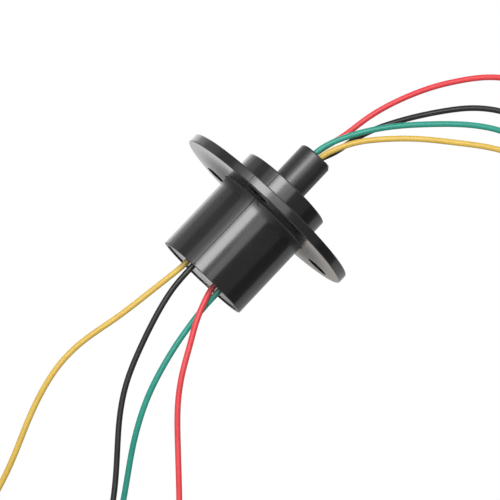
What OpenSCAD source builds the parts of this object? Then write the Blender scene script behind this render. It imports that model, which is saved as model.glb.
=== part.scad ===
// Flanged capsule slip ring with four circuits.
// +Z runs along the rotor's axis towards the shaft's open end. The origin is on that axis,
// in the flange's mounting face, so the body hangs below z = 0 and the collar and shaft stand above it.

/* [Housing] */
// Outside diameter of the body
body_d = 22; // [21.6:0.1:26]
// Length of the body below the mounting face
body_len = 19.4; // [18.8:0.1:30]
// Wall of the body around the ring chamber
body_wall = 1.7; // [1.4:0.1:2]
// Wall of the body at the end cap's seat
rim_wall = 1; // [0.6:0.1:1.2]
// Outside diameter of the flange
flange_d = 44.4; // [42:0.1:60]
// Thickness of the flange
flange_t = 2.2; // [1.6:0.1:4]
// Outside diameter of the collar round the front bearing
collar_d = 21.7; // [18.5:0.1:24]
// Height of the collar above the flange
collar_len = 5.1; // [4.2:0.1:8]
// Thickness of the collar's end wall, which holds the front bearing in
front_wall = 0.9; // [0.6:0.1:1.5]
// Radius of the fillets where the body and the collar meet the flange
root_fillet = 0.5; // [0.2:0.1:0.8]
// Radius of the rounded edges of the flange and the collar
edge_round = 0.3; // [0.1:0.05:0.4]

/* [Flange holes] */
// Diameter of each mounting hole
hole_d = 5.2; // [2:0.1:6]
// Diameter of the circle through the holes' centres
hole_circle_d = 35; // [33:0.1:36]
// Direction of the first hole, in degrees from +X
hole_angle = 19; // [0:1:119]
// Number of mounting holes
hole_count = 3; // [2:1:6]

/* [Rotor shaft] */
// Diameter of the part of the shaft that stands out of the collar
shaft_d = 7.9; // [7:0.1:7.9]
// Length of shaft that stands out of the collar
shaft_out = 9.4; // [6:0.1:20]
// Diameter of the seat that carries the rings and the front bearing
seat_d = 8; // [8:0.05:8.2]
// Diameter of the bore that the leads run through
bore_d = 4.4; // [4.2:0.1:5]
// Diameter of the rear journal
journal_d = 5; // [4.6:0.1:5.2]
// Chamfer at the shaft's open end
shaft_chamfer = 0.4; // [0.1:0.1:0.6]

/* [Contact rings] */
// Outside diameter of a contact ring
ring_d = 11; // [10.6:0.1:11.2]
// Width of a contact ring along the axis
ring_w = 1.8; // [1.4:0.1:1.9]
// Depth of a contact ring's V groove
groove_depth = 0.6; // [0.4:0.05:0.65]
// Width of an insulating barrier along the axis
barrier_w = 1.2; // [0.8:0.1:1.3]
// How far a barrier stands out past the contact rings
barrier_rise = 0.4; // [0.2:0.05:0.45]

/* [Brushes] */
// Diameter of the brush wire
brush_d = 0.3; // [0.2:0.02:0.34]
// Radius of the bends in a brush wire, at the middle of the wire
brush_bend = 0.6; // [0.4:0.1:0.9]
// How far a brush leg runs on past the middle of its ring
brush_reach = 1; // [0.4:0.1:2]
// Thickness of a brush board
board_t = 1; // [0.8:0.1:1.2]
// Width of a brush board
board_w = 12.4; // [12:0.1:12.6]
// Thickness of the ribs that hold the brush boards
rib_t = 0.8; // [0.6:0.1:1]

/* [Front bearing] */
// Outside diameter
front_bearing_d = 16; // [15:0.1:17]
// Width along the axis
front_bearing_w = 4; // [3.6:0.1:4.2]
// Diameter of a ball
front_ball_d = 2.4; // [2:0.1:2.6]
// Number of balls
front_ball_count = 9; // [7:1:10]

/* [Rear bearing] */
// Outside diameter
rear_bearing_d = 11; // [10:0.1:11.2]
// Width along the axis
rear_bearing_w = 3; // [2.6:0.1:3.1]
// Diameter of a ball
rear_ball_d = 1.6; // [1.4:0.1:1.8]
// Number of balls
rear_ball_count = 9; // [7:1:10]

/* [End cap] */
// Thickness of the end cap's plate
cap_t = 2; // [1.4:0.1:2.2]
// How deep the plate lies below the housing's rim
cap_recess = 0.3; // [0.1:0.1:0.6]
// Wall of the hub round the rear bearing
hub_wall = 0.7; // [0.5:0.05:0.75]
// Distance from the axis to the row of lead exits
exit_offset = 6.5; // [6.4:0.05:6.9]
// Middle of each pair of lead exits, to either side of the axis
exit_side = 3.85; // [3.5:0.05:4]

/* [Leads] */
// Diameter of a lead over its insulation
lead_d = 1.3; // [1:0.05:1.3]
// Diameter of the bare conductor
core_d = 0.5; // [0.3:0.05:0.6]
// Distance between the middles of two leads that leave side by side
lead_pitch = 1.5; // [1.45:0.05:1.6]
// How deep the sealing compound lies below the shaft's open end
mouth_depth = 2; // [1:0.1:4]
// Thickness of the sealing compound in the shaft's bore
mouth_seal_t = 2.4; // [1:0.1:4]
// Width of the coils that the leads are stored in, at the middle of their turns
coil_d = 13.6; // [13:0.1:16]

/* [Hidden] */
$fn = 96;

// Circuits, from the rear of the ring stack to its front
YELLOW = 0;
RED = 1;
BLACK = 2;
GREEN = 3;
CIRCUITS = 4;

// Colours
MOULDING = [0.07, 0.07, 0.075];
STEEL = [0.72, 0.73, 0.75];
GOLD = [0.86, 0.68, 0.30];
BOARD_GREEN = [0.10, 0.34, 0.20];
BARRIER_CREAM = [0.86, 0.82, 0.70];
EPOXY = [0.16, 0.15, 0.14];
LEAD_COLOURS = [[0.86, 0.68, 0.20], [0.90, 0.20, 0.20], [0.05, 0.05, 0.05], [0.10, 0.52, 0.42]];

// Clearances
fit = 0.02;          // between a piece and the seat it is pressed or glued into
ball_gap = 0.03;     // between a ball and its raceway
pocket_gap = 0.1;    // between a ball and its cage
brush_gap = 0.025;   // between a brush and its groove's wall
shaft_gap = 0.35;    // round the shaft where it passes the collar's end wall
relief = 0.3;        // below the parts that turn over the end cap
eps = 0.01;          // how far a cut runs past the face it opens

// Heights of the stator's faces
collar_top = flange_t + collar_len;
front_seat_top = collar_top - front_wall;
front_seat_bottom = front_seat_top - front_bearing_w;
body_end = -body_len;
cap_outer = body_end + cap_recess;
cap_inner = cap_outer + cap_t;
hub_top = cap_inner + rear_bearing_w;

// Radii of the stator
chamber_r = body_d / 2 - body_wall;
cap_seat_r = body_d / 2 - rim_wall;
front_pocket_r = front_bearing_d / 2 + fit;
hub_r = rear_bearing_d / 2 + fit + hub_wall;

// Heights of the rotor, from the rear bearing upwards
race_shoulder_len = 0.6;
stack_shoulder_t = 0.8;
shoulder_top = hub_top + race_shoulder_len;
stack_bottom = shoulder_top + stack_shoulder_t;
stack_top = stack_bottom + CIRCUITS * ring_w + (CIRCUITS + 1) * barrier_w;
shaft_end = collar_top + shaft_out;
bore_floor = stack_bottom;
mouth_seal_top = shaft_end - mouth_depth;
function ring_mid(i) = stack_bottom + barrier_w + ring_w / 2 + i * (ring_w + barrier_w);
function barrier_bottom(i) = stack_bottom + i * (ring_w + barrier_w);

// Radii of the rotor
seat_r = seat_d / 2;
shaft_r = shaft_d / 2;
neck_r = shaft_r - 0.35;   // relief where the shaft passes the collar's end wall
bore_r = bore_d / 2;
journal_r = journal_d / 2;
ring_r = ring_d / 2;
groove_r = ring_r - groove_depth;
barrier_r = ring_r + barrier_rise;
stack_shoulder_r = ring_r - 0.5;
race_shoulder_r = journal_r + 0.8;
sleeve_r = seat_r + 1;

// Brushes: each leg lies in its ring's V groove, a running gap off both walls
brush_r = brush_d / 2;
leg_offset = groove_r + (brush_r + brush_gap) * sqrt(2);
board_face = barrier_r + 0.2 + brush_d;
base_x = board_face - brush_r - fit;
board_bottom = hub_top + 0.5;
board_top = front_seat_bottom - 0.05;
board_edge_r = chamber_r - 0.1;

// Leads
lead_r = lead_d / 2;
core_r = core_d / 2;
exit_y = -exit_offset;
bore_lead_offset = 0.75;
core_clear = 0.1;

// A circuit's side of the stator: yellow and black leave on the left, red and green on the right
function side_of(i) = (i == YELLOW || i == BLACK) ? -1 : 1;
// Yellow and green are the outer lead of their pair
function is_outer(i) = i == YELLOW || i == GREEN;
function exit_x(i) = side_of(i) * (exit_side + (is_outer(i) ? 0.5 : -0.5) * lead_pitch);
function pad_y(i) = is_outer(i) ? -5.2 : -4;
// Each rotor lead has its own quarter of the bore
function bore_angle(i) = [315, 135, 45, 225][i];

// Routes of the leads, from where they leave the sealing compound to where they join their coil
STATOR_ROUTES = [
    [[-4.6, -6.5, -19], [-4.6, -6.5, -21], [-5.3, -6.5, -25.5], [-6.2, -6.5, -32], [-7.3, -6.5, -39],
     [-9.1, -6, -46], [-9.6, -6, -53], [-8.3, -5.5, -60], [-6, -5, -67], [-3, -4.5, -74], [-1, -4, -80],
     [0.5, -3.5, -86], [1, -3, -91.5], [1, -3, -94], [1, -3, -96]],
    [[3.1, -6.5, -19], [3.1, -6.5, -20.5], [3.8, -7.4, -23], [5.4, -7.8, -27.5], [8, -7.5, -32],
     [11, -7.5, -38], [15, -7, -43.5], [20.5, -6.5, -49], [26, -6.5, -54.5], [31.5, -6, -60],
     [36, -5.5, -66.5], [38.5, -5, -73.5], [39.5, -5, -78], [39.5, -5, -80.5], [39.5, -5, -82.5],
     [39.5, -5, -84]],
    [[-3.1, -6.5, -19], [-3.1, -6.5, -21], [-3, -6, -26], [-1.4, -5.5, -33], [1, -4.5, -40.5],
     [3.5, -4, -47], [7.3, -3.5, -53], [12, -3.5, -58.5], [16.3, -3, -63.5], [20.3, -3, -69],
     [23.5, -3, -75], [24.5, -3, -81], [24.5, -3, -86], [24.5, -3, -89], [24.5, -3, -91]],
    [[4.6, -6.5, -19], [4.6, -6.5, -20.5], [4.6, -5.4, -24], [5, -4.8, -28], [5.7, -4.5, -33.5],
     [7.1, -4, -40], [9.2, -3, -47], [13.3, -1, -55], [17.8, 1, -61.5], [21.8, 2, -67.5], [25, 3, -73.5],
     [26.5, 3, -80], [26.5, 3, -84], [26.5, 3, -86.5], [26.5, 3, -88.5], [26.5, 3, -90]]
];
ROTOR_ROUTES = [
    [[0.75, -0.75, 14.7], [0.75, -0.75, 16.5], [1.1, -1.2, 18.5], [2.2, -2, 21], [4, -2.5, 24.5],
     [7, -3.5, 28], [11, -4.5, 32], [15, -5, 35.4], [19.6, -5, 38.8], [24.2, -5.5, 42.2], [28.8, -5.5, 45],
     [33.5, -5.5, 47], [38.5, -5.5, 47], [43.5, -5.5, 44.5], [47, -5.5, 40], [48.5, -5.5, 36],
     [48.5, -5.5, 33]],
    [[-0.75, 0.75, 14.7], [-0.75, 0.75, 16.7], [0, 1.2, 20], [1.5, 2, 25], [2.1, 2.5, 31], [4.3, 3, 38.2],
     [7.6, 3.5, 45.5], [10.8, 4, 50.5], [14.5, 4, 55.5], [19, 4.5, 59.5], [24, 5, 62], [29, 5, 62.5],
     [34, 5, 61], [38.5, 5, 57.5], [42, 5, 52.5], [44, 5, 47], [44.5, 5, 42.5], [44.5, 5, 39.5]],
    [[0.75, 0.75, 14.7], [0.75, 0.75, 16.5], [1.6, 0.8, 18.5], [2.6, 1, 21], [3.2, 1, 24.7], [4.8, 1, 29.5],
     [7.3, 1, 34.3], [10.1, 1.5, 38.9], [13, 1.5, 43], [16.5, 1.5, 47.5], [20.5, 1.5, 51], [25, 1.5, 53.5],
     [30, 1.5, 54.5], [35, 1.5, 53.5], [39.5, 1.5, 50.5], [43, 1.5, 46.5], [45, 1.5, 42], [45.5, 1.5, 39],
     [45.5, 1.5, 37]],
    [[-0.75, -0.75, 14.7], [-0.75, -0.75, 16.7], [-0.3, -1, 19.5], [1.3, -1.5, 23.3], [4.2, -2, 28.3],
     [8.1, -2, 33.4], [12, -2, 37.5], [16, -2, 41.5], [20, -2, 45], [24.5, -2, 48], [29.5, -2, 50],
     [34.5, -2, 50], [39.5, -2, 48], [43.5, -2, 44], [46, -2, 40], [46.5, -2, 37.5], [46.5, -2, 36]]
];
TUBE_SIDES = 8;
TUBE_STEPS = 2;      // rings of the tube for each stretch of the route
COIL_LAYERS = 2;     // turns lie two deep and two side by side

// ---------------------------------------------------------------- helpers

// Points of an arc in a profile
function arc(centre, r, from, to, steps = 8) = [
    for (k = [0 : steps])
        let (a = from + (to - from) * k / steps)
        centre + r * [cos(a), sin(a)]
];

// A ring with square section, from bottom to top
module sleeve(inner_r, outer_r, bottom, top) {
    translate([0, 0, bottom])
        rotate_extrude()
            translate([inner_r, 0])
                square([outer_r - inner_r, top - bottom]);
}

// A round bar between two points
module bar(from, to, r) {
    run = to - from;
    length = norm(run);
    tilt = acos(run[2] / length);
    turn = atan2(run[1], run[0]);
    translate(from)
        rotate([0, tilt, turn])
            cylinder(r = r, h = length, $fn = 24);
}

// A wire bent through a list of points, with a slightly fuller ball at each bend
module bent_wire(points, r) {
    for (k = [0 : len(points) - 2])
        bar(points[k], points[k + 1], r);
    for (k = [1 : len(points) - 2])
        translate(points[k])
            sphere(r = r * 1.1, $fn = 24);
}

// A point of the smooth curve that four points of a route pull on
function pull(a, b, c, d, t) = (
    pow(1 - t, 3) * a + (3 * pow(t, 3) - 6 * t * t + 4) * b
    + (-3 * pow(t, 3) + 3 * t * t + 3 * t + 1) * c + pow(t, 3) * d
) / 6;

// The smooth curve along a route, which starts and ends on the route's own ends
function smooth(route) =
    let (
        last = len(route) - 1,
        p = concat([2 * route[0] - route[1]], route, [2 * route[last] - route[last - 1]])
    )
    concat(
        [for (k = [0 : last - 1], s = [0 : TUBE_STEPS - 1])
            pull(p[k], p[k + 1], p[k + 2], p[k + 3], s / TUBE_STEPS)],
        [route[last]]
    );

function unit(v) = v / norm(v);

// A tube along a route, as one closed solid
module lead_tube(route) {
    path = smooth(route);
    last = len(path) - 1;
    rings = [
        for (k = [0 : last])
            let (
                along = unit(path[min(k + 1, last)] - path[max(k - 1, 0)]),
                across = unit(cross([0, 1, 0], along)),
                beside = cross(along, across)
            )
            for (s = [0 : TUBE_SIDES - 1])
                let (a = 360 * s / TUBE_SIDES)
                path[k] + lead_r * (cos(a) * across + sin(a) * beside)
    ];
    sides = [
        for (k = [0 : last - 1], s = [0 : TUBE_SIDES - 1])
            let (
                low = k * TUBE_SIDES,
                high = low + TUBE_SIDES,
                next = (s + 1) % TUBE_SIDES
            )
            for (face = [
                [low + s, high + s, low + next],
                [low + next, high + s, high + next]
            ])
                face
    ];
    start_face = [for (s = [0 : TUBE_SIDES - 1]) s];
    end_face = [for (s = [TUBE_SIDES - 1 : -1 : 0]) last * TUBE_SIDES + s];
    polyhedron(points = rings, faces = concat(sides, [start_face, end_face]));
}

// The outer shape of a coil, hung in the plane of X and Z beside the end of its lead
module coil_ring(route) {
    entry = route[len(route) - 1];
    half = COIL_LAYERS * lead_d / 2;
    mid_r = coil_d / 2;
    chamfer = lead_r * 0.8;
    section = [
        [mid_r - half, -half + chamfer], [mid_r - half + chamfer, -half],
        [mid_r + half - chamfer, -half], [mid_r + half, -half + chamfer],
        [mid_r + half, half - chamfer], [mid_r + half - chamfer, half],
        [mid_r - half + chamfer, half], [mid_r - half, half - chamfer]
    ];
    // the lead comes down onto the outer layer, where its inner side meets the ring
    drop = sqrt(pow(mid_r + half, 2) - pow(mid_r + half - lead_d, 2)) + 0.05;
    translate(entry + [mid_r + half - lead_r, lead_r, -drop])
        rotate([90, 0, 0])
            rotate_extrude($fn = 72)
                polygon(section);
}

// ---------------------------------------------------------------- housing and end cap

// Half section of the moulding from the rim to the collar, with its fillets and rounded edges
module housing_section() {
    body_r = body_d / 2;
    flange_r = flange_d / 2;
    collar_r = collar_d / 2;
    polygon(concat(
        [[cap_seat_r, body_end], [body_r - 0.15, body_end], [body_r, body_end + 0.15]],
        arc([body_r + root_fillet, -root_fillet], root_fillet, 180, 90),
        arc([flange_r - edge_round, edge_round], edge_round, -90, 0, 4),
        arc([flange_r - edge_round, flange_t - edge_round], edge_round, 0, 90, 4),
        arc([collar_r + root_fillet, flange_t + root_fillet], root_fillet, 270, 180),
        arc([collar_r - edge_round, collar_top - edge_round], edge_round, 0, 90, 4),
        [
            [shaft_r + shaft_gap, collar_top],
            [shaft_r + shaft_gap, front_seat_top],
            [front_pocket_r, front_seat_top],
            [front_pocket_r, front_seat_bottom],
            [chamber_r, front_seat_bottom],
            [chamber_r, cap_inner],
            [cap_seat_r, cap_inner]
        ]
    ));
}

// Ribs in the chamber that hold each brush board by its edges and its back
module board_ribs() {
    rib_bottom = board_bottom;
    rib_len = front_seat_bottom - rib_bottom + eps;
    front_x = board_face - fit - rib_t;
    back_x = board_face + board_t + fit;
    edge_y = leg_offset + brush_r + 0.4;
    back_y = 2.6;
    intersection() {
        translate([0, 0, rib_bottom])
            cylinder(r = chamber_r + body_wall / 2, h = rib_len);
        union() {
            for (sx = [0, 1], sy = [0, 1])
                mirror([sx, 0, 0])
                    mirror([0, sy, 0]) {
                        translate([front_x, edge_y, rib_bottom])
                            cube([rib_t, chamber_r, rib_len]);
                        translate([back_x, back_y, rib_bottom])
                            cube([chamber_r, rib_t, rib_len]);
                    }
        }
    }
}

module housing() {
    color(MOULDING)
        difference() {
            union() {
                rotate_extrude()
                    housing_section();
                board_ribs();
            }
            for (k = [0 : hole_count - 1])
                rotate(hole_angle + k * 360 / hole_count)
                    translate([hole_circle_d / 2, 0, -1])
                        cylinder(d = hole_d, h = flange_t + 2);
        }
}

// A slot with round ends for one pair of leads, seen from above
module exit_slot(side, r, bottom, top) {
    translate([side * exit_side, exit_y, bottom]) {
        for (k = [-1, 1])
            translate([k * lead_pitch / 2, 0, 0])
                cylinder(r = r, h = top - bottom, $fn = 48);
        translate([-lead_pitch / 2, -r, 0])
            cube([lead_pitch, 2 * r, top - bottom]);
    }
}

slot_r = lead_r + 0.15;

module end_cap() {
    color(MOULDING)
        difference() {
            union() {
                translate([0, 0, cap_outer])
                    cylinder(r = cap_seat_r - fit, h = cap_t);
                sleeve(0, hub_r, cap_inner - eps, hub_top);
            }
            // pocket of the rear bearing, and room for the shaft's end to turn
            translate([0, 0, cap_inner])
                cylinder(d = rear_bearing_d + 2 * fit, h = rear_bearing_w + 1);
            translate([0, 0, cap_inner - relief])
                cylinder(r = rear_bearing_d / 2 - 1.2, h = relief + 1);
            for (side = [-1, 1])
                exit_slot(side, slot_r, cap_outer - 1, cap_inner + 1);
        }
}

module exit_seal() {
    color(EPOXY)
        difference() {
            for (side = [-1, 1])
                exit_slot(side, slot_r - fit, cap_outer + 0.1, cap_inner - 0.1);
            for (i = [0 : CIRCUITS - 1])
                translate([exit_x(i), exit_y, cap_outer])
                    cylinder(r = lead_r + fit, h = cap_t, $fn = 48);
        }
}

// ---------------------------------------------------------------- bearings

// Middle of a bearing's balls, from its bore and outside diameter
function pitch_r(bore, outside) = (bore + outside) / 4;

module ball_groove(pitch, ball_d, mid) {
    translate([0, 0, mid])
        rotate_extrude()
            translate([pitch, 0])
                circle(r = ball_d / 2, $fn = 48);
}

module outer_race(bore, outside, width, ball_d, bottom) {
    pitch = pitch_r(bore, outside);
    color(STEEL)
        difference() {
            sleeve(pitch + ball_d * 0.29, outside / 2, bottom, bottom + width);
            ball_groove(pitch, ball_d, bottom + width / 2);
        }
}

module inner_race(bore, outside, width, ball_d, bottom) {
    pitch = pitch_r(bore, outside);
    color(STEEL)
        difference() {
            sleeve(bore / 2 + fit, pitch - ball_d * 0.29, bottom, bottom + width);
            ball_groove(pitch, ball_d, bottom + width / 2);
        }
}

module balls(bore, outside, width, ball_d, count, bottom) {
    pitch = pitch_r(bore, outside);
    color(STEEL)
        for (k = [0 : count - 1])
            rotate(k * 360 / count)
                translate([pitch, 0, bottom + width / 2])
                    sphere(d = ball_d - 2 * ball_gap);
}

module cage(bore, outside, width, ball_d, count, bottom) {
    pitch = pitch_r(bore, outside);
    half_t = ball_d * 0.18;
    half_h = ball_d / 2 + 0.35;
    mid = bottom + width / 2;
    color(GOLD)
        difference() {
            sleeve(pitch - half_t, pitch + half_t, mid - half_h, mid + half_h);
            for (k = [0 : count - 1])
                rotate(k * 360 / count)
                    translate([pitch, 0, mid])
                        sphere(d = ball_d + 2 * pocket_gap);
        }
}

module front_outer_race() outer_race(seat_d, front_bearing_d, front_bearing_w, front_ball_d, front_seat_bottom);
module front_inner_race() inner_race(seat_d, front_bearing_d, front_bearing_w, front_ball_d, front_seat_bottom);
module front_balls() {
    balls(seat_d, front_bearing_d, front_bearing_w, front_ball_d, front_ball_count, front_seat_bottom);
}
module front_cage() {
    cage(seat_d, front_bearing_d, front_bearing_w, front_ball_d, front_ball_count, front_seat_bottom);
}
module rear_outer_race() outer_race(journal_d, rear_bearing_d, rear_bearing_w, rear_ball_d, cap_inner);
module rear_inner_race() inner_race(journal_d, rear_bearing_d, rear_bearing_w, rear_ball_d, cap_inner);
module rear_balls() {
    balls(journal_d, rear_bearing_d, rear_bearing_w, rear_ball_d, rear_ball_count, cap_inner);
}
module rear_cage() {
    cage(journal_d, rear_bearing_d, rear_bearing_w, rear_ball_d, rear_ball_count, cap_inner);
}

// ---------------------------------------------------------------- brushes

// A board that carries two brushes, cut to fit the round chamber
module brush_board(side) {
    color(BOARD_GREEN)
        intersection() {
            translate([0, 0, board_bottom])
                cylinder(r = board_edge_r, h = board_top - board_bottom);
            translate([side > 0 ? board_face : -board_face - board_t, -board_w / 2, board_bottom])
                cube([board_t, board_w, board_top - board_bottom]);
        }
}

// A hairpin of springy wire: its base lies on the board and its two legs straddle the ring
module brush(i) {
    z = ring_mid(i);
    bend_x = base_x - brush_bend;
    bend_y = leg_offset - brush_bend;
    color(GOLD)
        mirror([side_of(i) < 0 ? 1 : 0, 0, 0])
            union() {
                bar([base_x, -bend_y, z], [base_x, bend_y, z], brush_r);
                for (s = [0, 1])
                    mirror([0, s, 0]) {
                        translate([bend_x, bend_y, z])
                            rotate_extrude(angle = 90)
                                translate([brush_bend, 0])
                                    circle(r = brush_r, $fn = 24);
                        bar([bend_x, leg_offset, z], [-brush_reach, leg_offset, z], brush_r);
                    }
            }
}

// The end of a stator lead: insulated through the seal, then bare to its pad on the board
module stator_core(i) {
    strip_z = cap_inner + 0.9;
    bend_z = strip_z + 0.4;
    pad_x = side_of(i) * (board_face - core_r - fit);
    pad_bottom = shoulder_top;
    pad_top = ring_mid(0) - brush_r - 0.6;
    color(LEAD_COLOURS[i])
        union() {
            translate([exit_x(i), exit_y, cap_outer + 0.1])
                cylinder(r = lead_r, h = strip_z - cap_outer - 0.1, $fn = 48);
            bent_wire([
                [exit_x(i), exit_y, strip_z - eps],
                [exit_x(i), exit_y, bend_z],
                [pad_x, pad_y(i), pad_bottom],
                [pad_x, pad_y(i), pad_top]
            ], core_r);
        }
}

// ---------------------------------------------------------------- rotor

// The shaft: rear journal, shoulders, seat for the ring stack and bearing, neck, and the open end
module rotor_shaft() {
    color(MOULDING)
        difference() {
            rotate_extrude()
                polygon([
                    [0, cap_inner],
                    [journal_r - 0.2, cap_inner],
                    [journal_r, cap_inner + 0.2],
                    [journal_r, hub_top],
                    [race_shoulder_r, hub_top],
                    [race_shoulder_r, shoulder_top],
                    [stack_shoulder_r, shoulder_top],
                    [stack_shoulder_r, stack_bottom],
                    [seat_r, stack_bottom],
                    [seat_r, front_seat_top],
                    [neck_r, front_seat_top + 0.1],
                    [neck_r, collar_top],
                    [shaft_r, collar_top],
                    [shaft_r, shaft_end - shaft_chamfer],
                    [shaft_r - shaft_chamfer, shaft_end],
                    [bore_r + shaft_chamfer, shaft_end],
                    [bore_r, shaft_end - shaft_chamfer],
                    [bore_r, bore_floor],
                    [0, bore_floor]
                ]);
            // a hole under each ring lets its conductor out of the bore
            for (i = [0 : CIRCUITS - 1])
                translate([0, 0, ring_mid(i)])
                    rotate(bore_angle(i))
                        rotate([0, 90, 0])
                            cylinder(r = core_r + core_clear, h = seat_r + 1, $fn = 24);
        }
}

module spacer_sleeve() {
    color(STEEL)
        sleeve(seat_r + fit, sleeve_r, stack_top, front_seat_bottom);
}

// A contact ring with the V groove that its brush runs in
module contact_ring(i) {
    color(GOLD)
        translate([0, 0, ring_mid(i)])
            rotate_extrude()
                polygon([
                    [seat_r + fit, -ring_w / 2],
                    [ring_r, -ring_w / 2],
                    [ring_r, -groove_depth],
                    [groove_r, 0],
                    [ring_r, groove_depth],
                    [ring_r, ring_w / 2],
                    [seat_r + fit, ring_w / 2]
                ]);
}

// An insulating barrier, with its outer corners taken off
module barrier(i) {
    corner = barrier_w / 6;
    color(BARRIER_CREAM)
        translate([0, 0, barrier_bottom(i)])
            rotate_extrude()
                polygon([
                    [seat_r + fit, 0],
                    [barrier_r - corner, 0],
                    [barrier_r, corner],
                    [barrier_r, barrier_w - corner],
                    [barrier_r - corner, barrier_w],
                    [seat_r + fit, barrier_w]
                ]);
}

// The end of a rotor lead: insulated down the bore, then bare and out to its ring
module rotor_core(i) {
    place = bore_lead_offset * [sign(cos(bore_angle(i))), sign(sin(bore_angle(i)))];
    z = ring_mid(i);
    strip_z = z + 0.9;
    out = seat_r / norm(place) * place;
    color(LEAD_COLOURS[i])
        union() {
            translate([place[0], place[1], strip_z])
                cylinder(r = lead_r, h = mouth_seal_top - strip_z, $fn = 48);
            bent_wire([
                [place[0], place[1], strip_z + eps],
                [place[0], place[1], z],
                [out[0], out[1], z]
            ], core_r);
        }
}

module mouth_seal() {
    color(EPOXY)
        difference() {
            translate([0, 0, mouth_seal_top - mouth_seal_t])
                cylinder(r = bore_r - fit, h = mouth_seal_t - 0.1);
            for (x = [-1, 1], y = [-1, 1])
                translate([x * bore_lead_offset, y * bore_lead_offset, mouth_seal_top - mouth_seal_t - 1])
                    cylinder(r = lead_r + fit, h = mouth_seal_t + 2, $fn = 48);
        }
}

// ---------------------------------------------------------------- leads

module stator_lead(i) color(LEAD_COLOURS[i]) lead_tube(STATOR_ROUTES[i]);
module stator_coil(i) color(LEAD_COLOURS[i]) coil_ring(STATOR_ROUTES[i]);
module rotor_lead(i) color(LEAD_COLOURS[i]) lead_tube(ROTOR_ROUTES[i]);
module rotor_coil(i) color(LEAD_COLOURS[i]) coil_ring(ROTOR_ROUTES[i]);

// ---------------------------------------------------------------- the whole slip ring

housing();
end_cap();
exit_seal();
front_outer_race();
rear_outer_race();
brush_board(-1);  // brush_board_left
brush_board(1);  // brush_board_right
brush(YELLOW);  // brush_yellow
brush(RED);  // brush_red
brush(BLACK);  // brush_black
brush(GREEN);  // brush_green
stator_core(YELLOW);  // stator_core_yellow
stator_core(RED);  // stator_core_red
stator_core(BLACK);  // stator_core_black
stator_core(GREEN);  // stator_core_green
stator_lead(YELLOW);  // stator_lead_yellow
stator_lead(RED);  // stator_lead_red
stator_lead(BLACK);  // stator_lead_black
stator_lead(GREEN);  // stator_lead_green
stator_coil(YELLOW);  // stator_coil_yellow
stator_coil(RED);  // stator_coil_red
stator_coil(BLACK);  // stator_coil_black
stator_coil(GREEN);  // stator_coil_green
front_balls();
front_cage();
rear_balls();
rear_cage();
rotor_shaft();
front_inner_race();
rear_inner_race();
spacer_sleeve();
barrier(0);  // barrier_1
barrier(1);  // barrier_2
barrier(2);  // barrier_3
barrier(3);  // barrier_4
barrier(4);  // barrier_5
contact_ring(YELLOW);  // ring_yellow
contact_ring(RED);  // ring_red
contact_ring(BLACK);  // ring_black
contact_ring(GREEN);  // ring_green
mouth_seal();
rotor_core(YELLOW);  // rotor_core_yellow
rotor_core(RED);  // rotor_core_red
rotor_core(BLACK);  // rotor_core_black
rotor_core(GREEN);  // rotor_core_green
rotor_lead(YELLOW);  // rotor_lead_yellow
rotor_lead(RED);  // rotor_lead_red
rotor_lead(BLACK);  // rotor_lead_black
rotor_lead(GREEN);  // rotor_lead_green
rotor_coil(YELLOW);  // rotor_coil_yellow
rotor_coil(RED);  // rotor_coil_red
rotor_coil(BLACK);  // rotor_coil_black
rotor_coil(GREEN);  // rotor_coil_green
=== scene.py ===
# %% [markdown]
# # A four-circuit slip ring
# A slip ring carries current into something that turns. The black body stays still, held by its flange.
# The hollow shaft turns inside it, and each of its four gold rings rubs under a wire brush.
# The packed CAD model gives every solid piece its shape and place. This notebook adds what CAD leaves out:
# the surfaces, the flexible leads with their stored length, and the small hand-made details.
# Blender counts in metres. Sizes here are in millimetres unless they say so, and MM turns them into metres.

# %% Load the frame
import math

import bmesh
import bpy
from mathutils import Matrix, Vector, noise


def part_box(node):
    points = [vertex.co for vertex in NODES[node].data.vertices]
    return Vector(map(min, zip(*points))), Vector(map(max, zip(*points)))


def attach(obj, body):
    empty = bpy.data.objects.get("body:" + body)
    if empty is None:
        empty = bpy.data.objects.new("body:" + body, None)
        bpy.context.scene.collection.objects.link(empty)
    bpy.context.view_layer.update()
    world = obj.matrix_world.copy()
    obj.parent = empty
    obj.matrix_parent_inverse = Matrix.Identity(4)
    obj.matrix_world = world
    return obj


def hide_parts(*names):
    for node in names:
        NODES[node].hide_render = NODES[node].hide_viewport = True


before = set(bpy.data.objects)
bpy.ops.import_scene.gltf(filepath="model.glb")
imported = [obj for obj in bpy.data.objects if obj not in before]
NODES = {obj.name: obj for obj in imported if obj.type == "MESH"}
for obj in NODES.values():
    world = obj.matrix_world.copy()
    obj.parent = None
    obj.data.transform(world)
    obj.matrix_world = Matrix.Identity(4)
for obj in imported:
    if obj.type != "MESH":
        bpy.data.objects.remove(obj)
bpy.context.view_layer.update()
SCENE = bpy.context.scene
MM = 0.001
PER_METRE = 1000
COLOURS = ["yellow", "red", "black", "green"]

# %% [markdown]
# ## Camera
# A long lens, half a metre away and a little below the flange, so the underside of the flange just shows.
# The camera is rolled, which lays the axis along the frame's diagonal. It could be turned by three angles,
# but three directions say it more plainly: which way it looks, which way is up and which way is right.

# %% Viewing direction
AIM = Vector((3.42, 0.0, -7.924)) * MM
TILT = math.radians(-5.35)
ROLL = math.radians(43.32)
view_dir = Vector((0, math.cos(TILT), -math.sin(TILT)))
view_up = Vector((0, math.sin(TILT), math.cos(TILT)))
side_dir = Vector((1, 0, 0))
cam_right = side_dir * math.cos(ROLL) + view_up * math.sin(ROLL)
cam_up = view_up * math.cos(ROLL) - side_dir * math.sin(ROLL)
print("looking along", [round(v, 3) for v in view_dir], "with", [round(v, 3) for v in cam_up], "up")

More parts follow.
